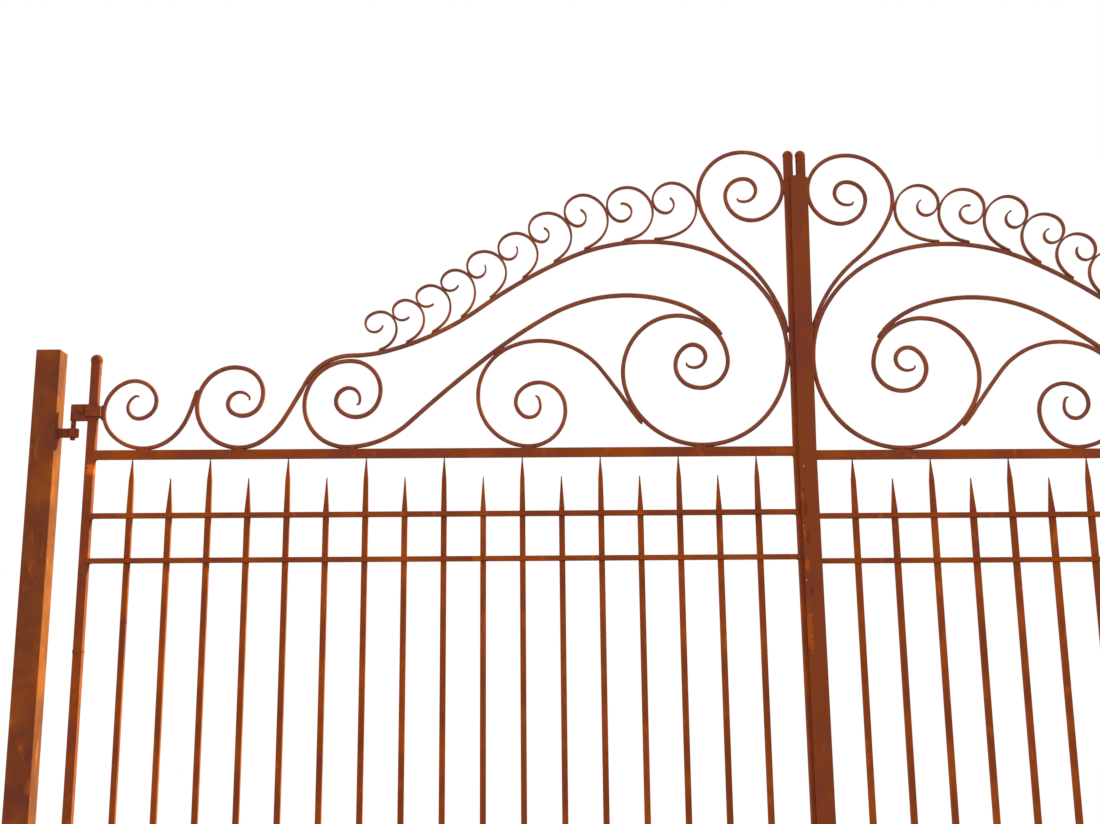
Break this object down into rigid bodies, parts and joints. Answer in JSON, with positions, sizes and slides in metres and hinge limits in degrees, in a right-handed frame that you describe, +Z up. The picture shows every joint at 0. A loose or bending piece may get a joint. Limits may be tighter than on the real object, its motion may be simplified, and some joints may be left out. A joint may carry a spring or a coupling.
{
  "type": "double-leaf wrought iron driveway gate",
  "caption": "Hinged pair of spear-topped iron gate leaves under a rising crest of forged scrolls, hung on two iron posts to close a driveway.",
  "frame": {"origin": "centre of the left post's foot, on the ground", "axes": "+X along the gate to the right post, +Y away from the viewer to where the leaves open, +Z up"},
  "size_m": [4.359, 0.07, 2.7998],
  "materials": {
    "frame_iron": "wrought iron with worn brown paint and light rust",
    "bar_iron": "wrought iron bar, rust brown, dull",
    "scroll_iron": "hot-forged wrought iron, rust brown, dull",
    "strip_iron": "flat wrought iron bar with rust stains",
    "hinge_iron": "forged hinge iron, dark brown",
    "post_iron": "square wrought iron post, rust brown"
  },
  "bodies": {
    "posts": {"left_post": "post_iron", "left_bottom_eye_bracket": "hinge_iron", "left_top_eye_bracket": "hinge_iron", "right_post": "post_iron", "right_bottom_eye_bracket": "hinge_iron", "right_top_eye_bracket": "hinge_iron"},
    "left_leaf": {"left_hanging_stile": "frame_iron", "left_meeting_stile": "frame_iron", "left_top_rail": "frame_iron", "left_bottom_rail": "frame_iron", "left_upper_bar_rail": "frame_iron", "left_lower_bar_rail": "frame_iron", "left_middle_bar_rail": "frame_iron", "left_long_spear_bars": "bar_iron", "left_short_spear_bars": "bar_iron", "left_hinge_side_scroll": "scroll_iron", "left_second_scroll": "scroll_iron", "left_arch_scroll": "scroll_iron", "left_facing_scroll": "scroll_iron", "left_great_scroll": "scroll_iron", "left_crown_scroll": "scroll_iron", "left_crest_scrolls": "scroll_iron", "left_bottom_hinge_strap": "hinge_iron", "left_top_hinge_strap": "hinge_iron"},
    "right_leaf": {"right_hanging_stile": "frame_iron", "right_meeting_stile": "frame_iron", "right_top_rail": "frame_iron", "right_bottom_rail": "frame_iron", "right_upper_bar_rail": "frame_iron", "right_lower_bar_rail": "frame_iron", "right_middle_bar_rail": "frame_iron", "right_long_spear_bars": "bar_iron", "right_short_spear_bars": "bar_iron", "right_hinge_side_scroll": "scroll_iron", "right_second_scroll": "scroll_iron", "right_arch_scroll": "scroll_iron", "right_facing_scroll": "scroll_iron", "right_great_scroll": "scroll_iron", "right_crown_scroll": "scroll_iron", "right_crest_scrolls": "scroll_iron", "right_bottom_hinge_strap": "hinge_iron", "right_top_hinge_strap": "hinge_iron", "cover_strip": "strip_iron"}
  },
  "joints": [
    {"name": "left_leaf_hinge", "type": "hinge", "parent": "posts", "child": "left_leaf", "pos_m": [0.075, 0, 0.3], "axis": [0, 0, 1], "range_deg": [0, 100]},
    {"name": "right_leaf_hinge", "type": "hinge", "parent": "posts", "child": "right_leaf", "pos_m": [4.214, 0, 0.3], "axis": [0, 0, -1], "range_deg": [0, 100]}
  ]
}
